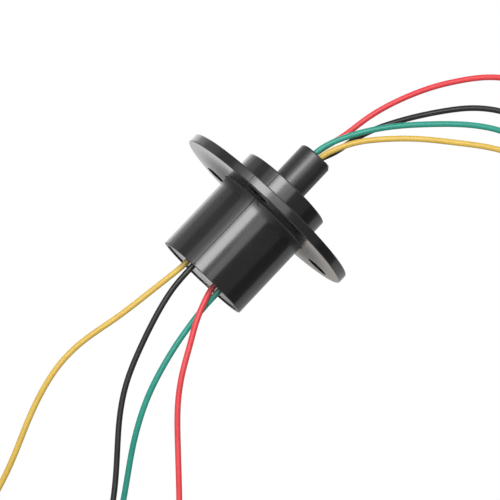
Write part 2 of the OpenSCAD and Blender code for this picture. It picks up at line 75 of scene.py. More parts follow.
# %% Camera
LENS = 167.3
FILM_WIDTH = 36
DISTANCE = 0.5  # metres
camera_data = bpy.data.cameras.new("camera")
camera_data.sensor_width = FILM_WIDTH
camera_data.lens = LENS
camera_data.clip_start = 0.01
camera_data.clip_end = 20
camera = bpy.data.objects.new("camera", camera_data)
SCENE.collection.objects.link(camera)
spot = AIM - view_dir * DISTANCE
camera.matrix_world = Matrix((
    (cam_right.x, cam_up.x, -view_dir.x, spot.x),
    (cam_right.y, cam_up.y, -view_dir.y, spot.y),
    (cam_right.z, cam_up.z, -view_dir.z, spot.z),
    (0, 0, 0, 1),
))
SCENE.camera = camera
print("camera at", [round(v, 4) for v in spot])

# %% [markdown]
# ## Routes of the leads
# Each lead is 1.3 mm hook-up wire, so it holds the curve that it was bent to.
# Straight pieces with rounded corners would look like bent rod. A smooth curve pulled along by a few points
# is how such a wire bends: it has no corners. Each route starts where the lead leaves the sealing compound
# and ends straight down, just above its storage coil.

# %% Routes
ROUTES = {
    "stator_yellow": [
        (-4.6, -6.5, -19), (-4.6, -6.5, -21), (-5.3, -6.5, -25.5), (-6.2, -6.5, -32), (-7.3, -6.5, -39),
        (-9.1, -6, -46), (-9.6, -6, -53), (-8.3, -5.5, -60), (-6, -5, -67), (-3, -4.5, -74), (-1, -4, -80),
        (0.5, -3.5, -86), (1, -3, -91.5), (1, -3, -94), (1, -3, -96)],
    "stator_red": [
        (3.1, -6.5, -19), (3.1, -6.5, -20.5), (3.8, -7.4, -23), (5.4, -7.8, -27.5), (8, -7.5, -32),
        (11, -7.5, -38), (15, -7, -43.5), (20.5, -6.5, -49), (26, -6.5, -54.5), (31.5, -6, -60),
        (36, -5.5, -66.5), (38.5, -5, -73.5), (39.5, -5, -78), (39.5, -5, -80.5), (39.5, -5, -82.5),
        (39.5, -5, -84)],
    "stator_black": [
        (-3.1, -6.5, -19), (-3.1, -6.5, -21), (-3, -6, -26), (-1.4, -5.5, -33), (1, -4.5, -40.5),
        (3.5, -4, -47), (7.3, -3.5, -53), (12, -3.5, -58.5), (16.3, -3, -63.5), (20.3, -3, -69),
        (23.5, -3, -75), (24.5, -3, -81), (24.5, -3, -86), (24.5, -3, -89), (24.5, -3, -91)],
    "stator_green": [
        (4.6, -6.5, -19), (4.6, -6.5, -20.5), (4.6, -5.4, -24), (5, -4.8, -28), (5.7, -4.5, -33.5),
        (7.1, -4, -40), (9.2, -3, -47), (13.3, -1, -55), (17.8, 1, -61.5), (21.8, 2, -67.5), (25, 3, -73.5),
        (26.5, 3, -80), (26.5, 3, -84), (26.5, 3, -86.5), (26.5, 3, -88.5), (26.5, 3, -90)],
    "rotor_yellow": [
        (0.75, -0.75, 14.7), (0.75, -0.75, 16.5), (1.1, -1.2, 18.5), (2.2, -2, 21), (4, -2.5, 24.5),
        (7, -3.5, 28), (11, -4.5, 32), (15, -5, 35.4), (19.6, -5, 38.8), (24.2, -5.5, 42.2),
        (28.8, -5.5, 45), (33.5, -5.5, 47), (38.5, -5.5, 47), (43.5, -5.5, 44.5), (47, -5.5, 40),
        (48.5, -5.5, 36), (48.5, -5.5, 33)],
    "rotor_red": [
        (-0.75, 0.75, 14.7), (-0.75, 0.75, 16.7), (0, 1.2, 20), (1.5, 2, 25), (2.1, 2.5, 31),
        (4.3, 3, 38.2), (7.6, 3.5, 45.5), (10.8, 4, 50.5), (14.5, 4, 55.5), (19, 4.5, 59.5), (24, 5, 62),
        (29, 5, 62.5), (34, 5, 61), (38.5, 5, 57.5), (42, 5, 52.5), (44, 5, 47), (44.5, 5, 42.5),
        (44.5, 5, 39.5)],
    "rotor_black": [
        (0.75, 0.75, 14.7), (0.75, 0.75, 16.5), (1.6, 0.8, 18.5), (2.6, 1, 21), (3.2, 1, 24.7),
        (4.8, 1, 29.5), (7.3, 1, 34.3), (10.1, 1.5, 38.9), (13, 1.5, 43), (16.5, 1.5, 47.5),
        (20.5, 1.5, 51), (25, 1.5, 53.5), (30, 1.5, 54.5), (35, 1.5, 53.5), (39.5, 1.5, 50.5),
        (43, 1.5, 46.5), (45, 1.5, 42), (45.5, 1.5, 39), (45.5, 1.5, 37)],
    "rotor_green": [
        (-0.75, -0.75, 14.7), (-0.75, -0.75, 16.7), (-0.3, -1, 19.5), (1.3, -1.5, 23.3), (4.2, -2, 28.3),
        (8.1, -2, 33.4), (12, -2, 37.5), (16, -2, 41.5), (20, -2, 45), (24.5, -2, 48), (29.5, -2, 50),
        (34.5, -2, 50), (39.5, -2, 48), (43.5, -2, 44), (46, -2, 40), (46.5, -2, 37.5), (46.5, -2, 36)],
}
print(len(ROUTES), "routes with", sum(len(route) for route in ROUTES.values()), "points in all")

# %% Smooth curve


def smooth(route, steps=6):
    """Points of the smooth curve along a route, in millimetres."""
    p = [Vector(v) for v in route]
    p = [2 * p[0] - p[1]] + p + [2 * p[-1] - p[-2]]
    out = []
    for k in range(len(p) - 3):
        a, b, c, d = p[k:k + 4]
        for s in range(steps):
            t = s / steps
            out.append((
                (1 - t) ** 3 * a + (3 * t ** 3 - 6 * t * t + 4) * b
                + (-3 * t ** 3 + 3 * t * t + 3 * t + 1) * c + t ** 3 * d) / 6)
    return out + [Vector(route[-1])]


def run_length(points):
    """Length along a list of points."""
    return sum((b - a).length for a, b in zip(points, points[1:]))


for name, route in ROUTES.items():
    print(name, "runs", round(run_length(smooth(route)), 1), "mm to its coil")

# %% [markdown]
# The length past each route is wound into a small storage coil, two turns wide and two turns deep. A helix
# could stand for it, but in a neat coil the wire lies flat for most of a turn and then crosses over beside or
# on the turn before. The coil follows that rule until the lead's whole length is used up.

# %% Sizes of the leads and coils
LEAD_D = 1.3
COIL_R = 7.45  # middle of the wire in the outer turns
LAYER = 1.3  # from the middle of one turn to the next
DROP = 4.45  # the straight run down into the coil
CROSSING = 0.15  # the part of a turn in which the wire crosses over
POINTS_PER_TURN = 48
LEAD_LENGTH = {name: 250 for name in ROUTES}
LEAD_LENGTH["rotor_red"] = 260
print("a coil is", 2 * COIL_R + LEAD_D, "mm across, for leads of", LEAD_LENGTH["rotor_black"], "mm or more")

# %% Storage coil


def ease(x):
    """0 before 0, 1 after 1, and a smooth rise between them."""
    x = min(max(x, 0.0), 1.0)
    return x * x * (3 - 2 * x)


def crossed(turn, number):
    """0 before the crossing that ends the turn of that number, and 1 after it."""
    return ease((turn - (number - CROSSING)) / CROSSING)


def wound(end, spare):
    """The storage coil of a lead that arrives at end, heading down, with that much length to spare."""
    centre = Vector(end) + Vector((COIL_R, 0, -DROP))
    out = [Vector(end) + Vector((0, 0, -DROP * k / 4)) for k in range(1, 4)]
    used = DROP
    turn = 0.0
    last = out[-1]
    while used < spare:
        # columns swap at the end of the first and third turn, layers at the end of the second and fourth
        column = crossed(turn, 1) - crossed(turn, 3)
        layer = crossed(turn, 2) + crossed(turn, 4)
        r = COIL_R - LAYER * layer
        angle = math.radians(180) + turn * 2 * math.pi
        here = centre + Vector((r * math.cos(angle), LAYER * column, r * math.sin(angle)))
        if turn > 0:
            used += (here - last).length
        out.append(here)
        last = here
        turn += 1 / POINTS_PER_TURN
    return out, turn


print("150 mm of lead make", round(wound(ROUTES["stator_yellow"][-1], 150)[1], 1), "turns")

# %% [markdown]
# Each lead is a curve with a round section. A mesh tube would do as well, but a curve keeps the path that it
# follows, and the path is what a cord is measured by. Its points carry the wire's radius. The leads replace
# the plain runs and rings that stand for them in the CAD model.

# %% Leads
LEADS = {}
PATHS = {}
for name, route in ROUTES.items():
    line = smooth(route)
    coil, turns = wound(route[-1], LEAD_LENGTH[name] - run_length(line))
    path = line + coil
    curve = bpy.data.curves.new("lead_" + name, "CURVE")
    curve.dimensions = "3D"
    curve.bevel_depth = 1.0  # times each point's radius
    curve.bevel_resolution = 5
    curve.use_fill_caps = True
    spline = curve.splines.new("POLY")
    spline.points.add(len(path) - 1)
    for point, place in zip(spline.points, path):
        point.co = (*(place * MM), 1)
        point.radius = LEAD_D / 2 * MM
    lead = bpy.data.objects.new("lead_" + name, curve)
    SCENE.collection.objects.link(lead)
    LEADS[name] = lead
    PATHS[name] = path
    print(name, "is", round(run_length(path)), "mm long, with", round(turns, 1), "turns in its coil")

# %% What the leads stand for
for name, lead in LEADS.items():
    side, colour = name.split("_")
    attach(lead, side)
    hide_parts(f"{side}_lead_{colour}", f"{side}_coil_{colour}")
    "lead_" + colour
print(len(LEADS), "leads ride on the stator or the rotor")

# %% [markdown]
# ## Finishes as formulas
# A finish is a formula over the surface: where the grain is, how deep it is, what colour it has.
# It could be wired by hand in the shader editor, but long formulas are hard to read as wires.
# `Field` wraps one value of a node tree, so that the formula can be written with plus, minus and times.

# %% Field


class Field:
    """A value that varies over a surface."""

    def __init__(self, finish, socket):
        self.finish = finish
        self.socket = socket

    def math(self, operation, *others):
        """One Math node, worked on this value and the others."""
        return self.finish.node("ShaderNodeMath", dict(enumerate((self,) + others)), {"operation": operation})

    def __add__(self, other):
        return self.math("ADD", other)

    def __sub__(self, other):
        return self.math("SUBTRACT", other)

    def __mul__(self, other):
        return self.math("MULTIPLY", other)

    def __truediv__(self, other):
        return self.math("DIVIDE", other)

    def __rsub__(self, other):
        return self.finish.node("ShaderNodeMath", {0: other, 1: self}, {"operation": "SUBTRACT"})

    __radd__ = __add__
    __rmul__ = __mul__

    def size(self):
        """The value without its sign."""
        return self.math("ABSOLUTE")

    def rise(self, low, high):
        """0 below low, 1 above high, and a smooth step between them."""
        return self.finish.node(
            "ShaderNodeMapRange", {"Value": self, "From Min": low, "From Max": high},
            {"interpolation_type": "SMOOTHSTEP"})

    def band(self, middle, width):
        """1 on a line where the field equals middle, 0 further off than width."""
        return 1 - (self - middle).size().rise(width * 0.4, width)

    def colours(self, low, high):
        """A blend from one colour to another as the field goes from 0 to 1."""
        return self.finish.node(
            "ShaderNodeMix", {"Factor": self, "A": low, "B": high}, {"data_type": "RGBA"}, "Result")


print("a field can be changed by", ", ".join(word for word in vars(Field) if not word.startswith("_")))

# %% [markdown]
# `Finish` is one material. Its x, y and z are millimetres in the part's own frame, and its radius is the
# distance from the axis the shaft turns on, so that tool marks and wear can follow the part's own shape.

# %% Finish


class Finish:
    """A material whose surface is given by formulas."""

    def __init__(self, name, **constants):
        self.material = bpy.data.materials.new(name)
        self.material.use_nodes = True
        self.tree = self.material.node_tree
        self.shader = self.tree.nodes["Principled BSDF"]
        for key, value in constants.items():
            self.shader.inputs[key.replace("_", " ")].default_value = value
        self.place = self.node("ShaderNodeTexCoord", out="Object")
        axes = self.node("ShaderNodeSeparateXYZ", {"Vector": self.place})
        self.x, self.y, self.z = (Field(self, axes.socket.node.outputs[k]) * PER_METRE for k in "XYZ")
        self.radius = (self.x * self.x + self.y * self.y).math("SQRT")

    def node(self, kind, inputs=None, settings=None, out=0):
        """One node of the tree. Inputs that are fields are linked, and the others are set."""
        node = self.tree.nodes.new(kind)
        for key, value in (settings or {}).items():
            setattr(node, key, value)
        for key, value in (inputs or {}).items():
            sockets = [s for s in node.inputs if s.enabled and s.name == key]
            self.put(node.inputs[key] if isinstance(key, int) else sockets[0], value)
        found = [s for s in node.outputs if s.enabled]
        return Field(self, found[out] if isinstance(out, int) else next(s for s in found if s.name == out))

    def put(self, socket, value):
        """Links a field to a socket, or sets the socket to a number, colour or vector."""
        if isinstance(value, Field):
            self.tree.links.new(value.socket, socket)
        elif isinstance(value, tuple) and len(value) == 3 and socket.type == "RGBA":
            socket.default_value = (*value, 1)
        else:
            socket.default_value = value

    def noise(self, size, detail=2.0, stretch=(1, 1, 1)):
        """Cloudy noise from 0 to 1, with lumps of that size in millimetres."""
        scaled = self.node(
            "ShaderNodeVectorMath",
            {0: self.place, 1: tuple(PER_METRE / (size * s) for s in stretch)}, {"operation": "MULTIPLY"})
        return self.node(
            "ShaderNodeTexNoise", {"Vector": scaled, "Scale": 1.0, "Detail": detail, "Roughness": 0.55})

    def turned(self, pitch):
        """Fine lines round the axis, as a lathe leaves them."""
        along = self.node("ShaderNodeCombineXYZ", {"X": self.radius / pitch, "Y": self.z / pitch})
        return self.node("ShaderNodeTexNoise", {"Vector": along, "Scale": 1.0, "Detail": 3.0})

    def set(self, name, value):
        """Gives one property of the surface its formula."""
        self.put(self.shader.inputs[name], value)

    def relief(self, height, depth):
        """Raises the surface by height times depth, in millimetres."""
        bump = self.node("ShaderNodeBump", {"Height": height, "Distance": depth * MM, "Strength": 1.0})
        self.set("Normal", bump)


print("a finish can", ", ".join(word for word in vars(Finish) if not word.startswith("_")))

# %% Coat


def coat(finish, *names):
    """Gives a finish to CAD nodes."""
    for name in names:
        for slot in NODES[name].material_slots:
            slot.material = finish.material
    print(finish.material.name, "on", ", ".join(names))


print("there are", sum(len(node.material_slots) for node in NODES.values()), "material slots to coat")

# %% [markdown]
# ## The moulded pieces
# The housing is injection moulded in a glossy black engineering plastic, in a mould of two halves.
# Where the halves meet, a parting line runs down the body and over the flange's rim.
# The skin copies the polished mould: nearly smooth, with a slight orange peel and a few cloudy patches.
# The polishing felt doesn't reach into the corner under the flange, so the gloss fades out there. The
# flange's flat underside has no peel, because at a grazing angle the least unevenness would look speckled.
#
# Each trace has its place on the part: an angle, a height or a distance from the axis. A band of that
# coordinate that rises smoothly from 0 to 1 puts the trace there, and nothing has to be unwrapped.

# %% Places on the housing
PARTING = math.radians(253)
LINE_FADE = (0.06, 0.15)  # distance from the parting plane, where the line ends
CORNER_RISE = (-2.6, -0.3)  # height, up into the corner under the flange
CORNER_REACH = (11.3, 11.6)  # radius, where the corner's fillet ends
UNDERSIDE_LOW = (-0.6, -0.2)  # heights round the flange's flat underside, which is at 0
UNDERSIDE_HIGH = (0.05, 0.2)
RIM_REACH = (10.5, 22.0)  # radius, from the body to the flange's rim
BESIDE_AXIS = (8.0, 12.0)  # distance from the middle to either side
END_FACE = (-19.39, -19.32)  # height, just above the body's rear face
print("the parting line lies at", round(math.degrees(PARTING)), "degrees")

# %% Moulded plastic


def moulded(name, gloss, peel):
    """Black plastic with that roughness where its gloss is best, and that depth of orange peel."""
    finish = Finish(name, Specular_IOR_Level=0.9, IOR=1.5)
    cloud = finish.noise(5.0, 3.0)
    speckle = finish.noise(0.25, 2.0)
    orange = finish.noise(0.9, 2.0)
    off_line = (finish.x * math.sin(PARTING) - finish.y * math.cos(PARTING)).size()
    line = 1 - off_line.rise(*LINE_FADE)
    in_corner = 1 - finish.radius.rise(*CORNER_REACH)
    below_flange = 1 - finish.z.rise(-0.1, 0.1)
    corner = finish.z.rise(*CORNER_RISE) * in_corner * below_flange
    facing_down = finish.z.rise(*UNDERSIDE_LOW) * (1 - finish.z.rise(*UNDERSIDE_HIGH))
    near_body = facing_down * (1 - finish.radius.rise(*RIM_REACH)) * finish.x.size().rise(*BESIDE_AXIS)
    end_face = 1 - finish.z.rise(*END_FACE)
    dull = line * 0.5 + corner * 0.38 + near_body * 0.26 + end_face * 0.16
    shade = cloud * 0.7 + speckle * 0.3
    finish.set("Base Color", shade.colours((0.003, 0.003, 0.0035), (0.009, 0.009, 0.0095)))
    finish.set("Roughness", gloss + cloud * 0.05 + speckle * 0.03 + dull)
    finish.relief((orange * peel + speckle * 0.04) * (1 - facing_down), 0.002)
    return finish


housing_finish = moulded("moulded_black", 0.14, 0.25)
coat(housing_finish, "housing")
coat(moulded("moulded_cap", 0.2, 0.4), "end_cap")

# %% [markdown]
# The shaft is turned from rod, so it carries faint rings from the tool and has a softer shine. Rings cut into
# the mesh would need thousands of faces for a depth of microns. Noise that varies along the axis and not
# round it gives the same lines, as irregular as a real tool leaves them.

# %% Turned shaft
shaft_finish = Finish("turned_black", Specular_IOR_Level=0.8, IOR=1.5)
tool_lines = shaft_finish.turned(0.12)
patches = shaft_finish.noise(2.5, 3.0)
shaft_finish.set("Base Color", patches.colours((0.008, 0.008, 0.009), (0.02, 0.02, 0.021)))
shaft_finish.set("Roughness", 0.27 + patches * 0.08 + tool_lines * 0.06)
shaft_finish.relief(tool_lines, 0.004)
coat(shaft_finish, "rotor_shaft")

# %% [markdown]
# The leads are sealed in with black epoxy. It cures glossy, with the odd pit left by a bubble. A Voronoi
# texture gives the distance to scattered points, and the smallest distances, pressed in, are the pits.

# %% Sealing compound
epoxy = Finish("cured_epoxy", Coat_Weight=0.6, Coat_Roughness=0.08)
PITS_PER_METRE = 2200.0
pits = epoxy.node("ShaderNodeTexVoronoi", {"Vector": epoxy.place, "Scale": PITS_PER_METRE}, out="Distance")
swirl = epoxy.noise(1.2, 3.0)
epoxy.set("Base Color", swirl.colours((0.012, 0.011, 0.010), (0.035, 0.031, 0.028)))
epoxy.set("Roughness", 0.18 + swirl * 0.15)
epoxy.relief(pits.rise(0.02, 0.16) * 0.6 + swirl * 0.4, 0.03)
coat(epoxy, "exit_seal", "mouth_seal")

# %% [markdown]
# ## The ball bearings
# Races are ground, so their lines run round the axis, finer than the shaft's. The raceways and balls are
# polished, and the cage is pressed from brass. All three metals are alike in kind, so each is one short
# formula: two colours, a roughness and the marks of the tool that made it.

# %% Bearing metals
steel = Finish("ground_steel", Metallic=1.0)
grinding = steel.turned(0.05)
stain = steel.noise(3.0, 3.0)
steel.set("Base Color", stain.colours((0.50, 0.51, 0.53), (0.66, 0.67, 0.69)))
steel.set("Roughness", 0.22 + grinding * 0.16)
steel.relief(grinding, 0.003)
races = [f"{end}_{ring}_race" for end in ("front", "rear") for ring in ("outer", "inner")]
coat(steel, *races, "spacer_sleeve")

ball_steel = Finish("polished_steel", Metallic=1.0)
film = ball_steel.noise(0.6, 3.0)
ball_steel.set("Base Color", film.colours((0.62, 0.63, 0.65), (0.74, 0.75, 0.77)))
ball_steel.set("Roughness", 0.05 + film * 0.07)
coat(ball_steel, "front_balls", "rear_balls")

cage_brass = Finish("pressed_brass", Metallic=1.0)
tarnish = cage_brass.noise(0.8, 4.0)
cage_brass.set("Base Color", tarnish.colours((0.42, 0.27, 0.09), (0.72, 0.52, 0.22)))
cage_brass.set("Roughness", 0.25 + tarnish * 0.2)
cage_brass.relief(cage_brass.noise(0.12), 0.004)
coat(cage_brass, "front_cage", "rear_cage")

# %% [markdown]
# ## Rings, barriers and brushes
# Each ring is turned brass with hard gold on it. A brush leg lies in each flank of the V, so the flanks carry
# a polished, slightly darker track where the wire has run. The barriers between the rings are cream plastic,
# and the fine dust that wears off the brushes settles on their edges. Track, dust and worn wire each lie at
# one distance from the axis or the middle, so a band of that distance places each of them.

# %% Contact metals
ring_gold = Finish("ring_gold", Metallic=1.0)
lathe = ring_gold.turned(0.04)
TRACK_R = 5.05  # where the brush legs run in the groove
track = ring_gold.radius.band(TRACK_R, 0.13)
ring_gold.set("Base Color", track.colours((0.86, 0.60, 0.24), (0.55, 0.38, 0.17)))
ring_gold.set("Roughness", 0.2 + lathe * 0.14 - track * 0.1)
ring_gold.relief(lathe * (1 - track), 0.003)
coat(ring_gold, *["ring_" + c for c in COLOURS])

brush_gold = Finish("brush_gold", Metallic=1.0)
drawn = brush_gold.noise(0.05, 2.0, (20, 1, 1))
worn = brush_gold.x.size().band(0.0, 0.9)  # where a leg touches its ring
brush_gold.set("Base Color", worn.colours((0.88, 0.66, 0.32), (0.62, 0.44, 0.2)))
brush_gold.set("Roughness", 0.18 + drawn * 0.15)
brush_gold.relief(drawn, 0.002)
coat(brush_gold, *["brush_" + c for c in COLOURS])

barrier = Finish("barrier_cream", Subsurface_Weight=0.08, Subsurface_Radius=(0.0004, 0.0003, 0.0002))
dust = barrier.noise(0.5, 4.0) * barrier.radius.rise(5.2, 5.95)
grain = barrier.noise(0.18, 3.0)
barrier.set("Base Color", dust.colours((0.70, 0.63, 0.47), (0.20, 0.16, 0.11)))
barrier.set("Roughness", 0.42 + grain * 0.15 + dust * 0.2)
barrier.relief(grain, 0.006)
coat(barrier, *["barrier_" + str(k) for k in range(1, 6)])

# %% [markdown]
# A brush board is glass-fibre laminate under green lacquer. Two copper tracks run up under the lacquer,
# one for each brush, and the weave of the glass cloth shows faintly through it. The sawn edges are bare.
# The tracks could be thin strips of their own, but under lacquer only a tint and a slight step show, and a
# band of colour with some relief gives both. Two sine waves, crossed, are the weave.

# %% Brush boards
THREADS = 14  # radians of wave in each millimetre of cloth
TRACKS = ((4.0, 0.45), (5.4, 0.3))  # distance from the board's middle line and half width
INNER_FACE = (6.42, 6.44)  # distance from the axis, where the lacquer ends and the bare core begins
OUTER_FACE = (7.36, 7.38)  # and where the core ends
board = Finish("brush_board", Coat_Weight=0.35, Coat_Roughness=0.2)
weave_a = (board.y * THREADS).math("SINE")
weave_b = (board.z * THREADS).math("SINE")
weave = (weave_a * weave_b) * 0.5 + 0.5
tracks = board.y.size().band(*TRACKS[0]) + board.y.size().band(*TRACKS[1])
edge = board.x.size().rise(*INNER_FACE) * (1 - board.x.size().rise(*OUTER_FACE))
green = weave.colours((0.010, 0.11, 0.045), (0.016, 0.15, 0.065))
copper = tracks.math("MINIMUM", 1).colours(green, (0.06, 0.26, 0.10))
board.set("Base Color", edge.colours(copper, (0.42, 0.38, 0.24)))
board.set("Roughness", 0.3 + weave * 0.06 + edge * 0.4)
board.relief(weave * 0.2 + tracks * 0.8, 0.03)
coat(board, "brush_board_left", "brush_board_right")

# %% [markdown]
# ## The leads' insulation
# Extruded insulation has a soft shine and a smooth, slightly cloudy skin. Where the stator's leads leave the
# cap, painted shade darkens their colour and fades out along them. Indoors the same wire is stripped: at one
# height the colour stops, and tinned copper runs on. That bare end could be a piece of its own. As the wire
# under it keeps its shape, a change of finish at that height is enough and leaves no seam.

# %% Colours of the insulation
PAINTED_SHADE_RISE = (-23.0, -19.3)  # painted shade starts at the first height and is full at the second
LEAD_COLOURS = {
    "yellow": ((0.62, 0.40, 0.055), (0.78, 0.53, 0.10)),
    "red": ((0.70, 0.045, 0.055), (0.86, 0.075, 0.085)),
    "black": ((0.010, 0.010, 0.011), (0.020, 0.020, 0.021)),
    "green": ((0.012, 0.26, 0.19), (0.030, 0.36, 0.27)),
}
print("the insulation comes in", ", ".join(LEAD_COLOURS))

# %% Insulation


def insulation(name, colour, shade_heights=None):
    """Coloured insulation. Painted shade may darken it between two heights."""
    finish = Finish(name, Specular_IOR_Level=0.5)
    cloud = finish.noise(3.5, 3.0)
    grain = finish.noise(0.12, 2.0)
    skin = cloud.colours(*LEAD_COLOURS[colour])
    if shade_heights:
        # painted shade: the colour darkens towards the second height
        film = finish.z.rise(*shade_heights) * 0.65
        skin = film.colours(skin, (0.03, 0.027, 0.02))
    finish.set("Base Color", skin)
    finish.set("Roughness", 0.26 + cloud * 0.1 + grain * 0.05)
    finish.relief(cloud, 0.003)
    return finish, skin


def stripped(name, colour, bare):
    """Insulation that stops where bare(finish) turns to 1, with tinned copper from there on."""
    finish, skin = insulation(name, colour)
    metal = bare(finish)
    tinned = finish.noise(0.3, 3.0).colours((0.55, 0.52, 0.48), (0.72, 0.70, 0.67))
    finish.set("Base Color", metal.colours(skin, tinned))
    finish.set("Metallic", metal)
    return finish


for name, lead in LEADS.items():
    side, colour = name.split("_")
    # the stator's leads get painted shade where they leave the cap
    film = PAINTED_SHADE_RISE if side == "stator" else None
    lead.data.materials.append(insulation("insulation_" + name, colour, film)[0].material)
    print(name, "is insulated in", colour)

# %% Stripped ends indoors
SHARP = 0.02  # the insulation's cut edge
STATOR_STRIP = 2.9  # above the cap's rear face
ROTOR_STRIP = 0.88  # above the middle of the lead's own ring
for colour in COLOURS:
    strip_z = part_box("end_cap")[0].z / MM + STATOR_STRIP
    core = "stator_core_" + colour
    coat(stripped(core, colour, lambda f: f.z.rise(strip_z - SHARP, strip_z)), core)
    ring_low, ring_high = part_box("ring_" + colour)
    bare_z = (ring_low.z + ring_high.z) / 2 / MM + ROTOR_STRIP
    core = "rotor_core_" + colour
    coat(stripped(core, colour, lambda f: 1 - f.z.rise(bare_z, bare_z + SHARP)), core)

# %% [markdown]
# ## Small hand-made details
# The details that CAD leaves out are pieces of their own. Each is shaded smooth, gets its finish and rides on
# the stator or the rotor. One helper does all that.

# %% Helper for finished pieces


def add_piece(name, mesh, body, material):
    """Puts a finished mesh into the scene. Its place is already in its points."""
    for polygon in mesh.polygons:
        polygon.use_smooth = True
    if material:
        mesh.materials.clear()
        mesh.materials.append(material)
    piece = bpy.data.objects.new(name, mesh)
    SCENE.collection.objects.link(piece)
    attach(piece, body)
    print(name, "has", len(mesh.polygons), "faces")
    return piece


# %% [markdown]
# A ridge as fine as a hair marks the mould's parting line. A painted line would stay flat when the light
# moves, so the ridge is real geometry, and breaks the gloss as the real one does. Its section is a low bump
# of three points, swept down the housing's outline: body, flange and collar with their fillets.

# %% The housing's outline


def arc(cx, cz, r, start, end, steps=6):
    """Points of an arc in the plane of radius and height."""
    turns = [math.radians(start + (end - start) * k / steps) for k in range(steps + 1)]
    return [(cx + r * math.cos(t), cz + r * math.sin(t)) for t in turns]


ROOT = 0.5  # radius of the fillets at the flange's roots
ROUND = 0.3  # radius of the rounded edges
body_low, body_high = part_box("housing")
body_end = body_low.z / MM
body_r = 11.0
flange_r = body_high.x / MM
flange_t = 2.2
collar_r = 10.85
collar_top = body_high.z / MM
outline = (
    [(body_r, body_end + 0.2)]
    + arc(body_r + ROOT, -ROOT, ROOT, 180, 90)
    + arc(flange_r - ROUND, ROUND, ROUND, -90, 0)
    + arc(flange_r - ROUND, flange_t - ROUND, ROUND, 0, 90)
    + arc(collar_r + ROOT, flange_t + ROOT, ROOT, 270, 180)
    + arc(collar_r - ROUND, collar_top - ROUND, ROUND, 0, 90)
)
print("the outline has", len(outline), "points, from height", round(body_end, 2), "to", round(collar_top, 2))

# %% Parting line
RIDGE = ((-0.09, -0.01), (0, 0.06), (0.09, -0.01))  # across the line, and above the surface


def parting_ridge(angle):
    """A fine ridge along the housing's outline, at one angle round the axis."""
    points = []
    faces = []
    out_dir = Vector((math.cos(angle), math.sin(angle), 0))
    side = Vector((-math.sin(angle), math.cos(angle), 0))
    for k, (r, z) in enumerate(outline):
        before = Vector(outline[max(k - 1, 0)])
        after = Vector(outline[min(k + 1, len(outline) - 1)])
        run = (after - before).normalized()
        normal = Vector((run.y, -run.x))
        base = out_dir * r + Vector((0, 0, z))
        lift = out_dir * normal.x + Vector((0, 0, normal.y))
        for across, height in RIDGE:
            points.append((base + side * across + lift * height) * MM)
        if k:
            for flank in range(2):
                a = 3 * (k - 1) + flank
                faces.append((a, a + 1, a + 4, a + 3))
    mesh = bpy.data.meshes.new("parting_ridge")
    mesh.from_pydata(points, [], faces)
    return mesh


for where, turn in (("front", 0), ("back", math.pi)):
    ridge = parting_ridge(PARTING + turn)
    add_piece("parting_line_" + where, ridge, "stator", housing_finish.material)

# %% [markdown]
# Where a lead leaves the epoxy, the liquid climbed it a little before it set. That collar is a small concave
# fillet. It could be a bevel where lead and epoxy meet, but a bevel needs them to be one mesh. A quarter of
# a circle, turned round each lead and joined ring by ring, stays a piece of its own.

# %% Climbing epoxy
REACH = 0.3  # how far a collar spreads from the lead
CLIMB = 0.28  # how far it climbs
RINGS = 6


def fillets(name, places, z, up, body):
    """Concave collars of epoxy round leads that leave the seal at one height."""
    shape = bmesh.new()
    sides = 24
    for x, y in places:
        rings = []
        for step in range(RINGS):
            t = math.radians(90 * step / (RINGS - 1))
            r = LEAD_D / 2 + REACH * (1 - math.sin(t))
            h = CLIMB * (1 - math.cos(t))
            turns = [2 * math.pi * k / sides for k in range(sides)]
            rings.append([
                shape.verts.new(Vector((x + r * math.cos(a), y + r * math.sin(a), z + up * h)) * MM)
                for a in turns])
        for low, high in zip(rings, rings[1:]):
            for k in range(sides):
                n = (k + 1) % sides
                corners = (low[k], low[n], high[n], high[k])
                shape.faces.new(corners if up > 0 else (low[n], low[k], high[k], high[n]))
    mesh = bpy.data.meshes.new(name)
    shape.to_mesh(mesh)
    shape.free()
    add_piece(name, mesh, body, epoxy.material)


for side, up in (("stator", -1), ("rotor", 1)):
    ends = [ROUTES[f"{side}_{c}"][0] for c in COLOURS]
    seal = "exit_seal" if side == "stator" else "mouth_seal"
    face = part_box(seal)[0 if up < 0 else 1].z / MM
    fillets(f"{side}_epoxy_fillets", [(e[0], e[1]) for e in ends], face, up, side)

# %% [markdown]
# Two more traces of how it was made. Plastic squeezed out where the mould halves met the flange, and it broke
# off as a few nubs at the root of the body. A smear of the epoxy ran over the shaft's rim. No two are alike,
# so each is a ball pressed flatter along its own three radii and then roughened by noise.

# %% Nubs and smear
UNEVEN = 0.22  # the share of a radius that noise adds or takes


def lumps(name, spots, body, material):
    """Rounded lumps, each with a place, three radii in millimetres and an uneven surface."""
    shape = bmesh.new()
    for place, radii in spots:
        made = bmesh.ops.create_icosphere(shape, subdivisions=3, radius=1)["verts"]
        for vert in made:
            uneven = 1 + UNEVEN * noise.noise(vert.co * 1.7 + Vector(place))
            vert.co = (Vector(place) + Vector([c * r * uneven for c, r in zip(vert.co, radii)])) * MM
    mesh = bpy.data.meshes.new(name)
    shape.to_mesh(mesh)
    shape.free()
    add_piece(name, mesh, body, material)


def on_body(degrees, z):
    """A point of the body's outside, at that angle round the axis and that height."""
    turn = math.radians(degrees)
    return (body_r * math.cos(turn), body_r * math.sin(turn), z)


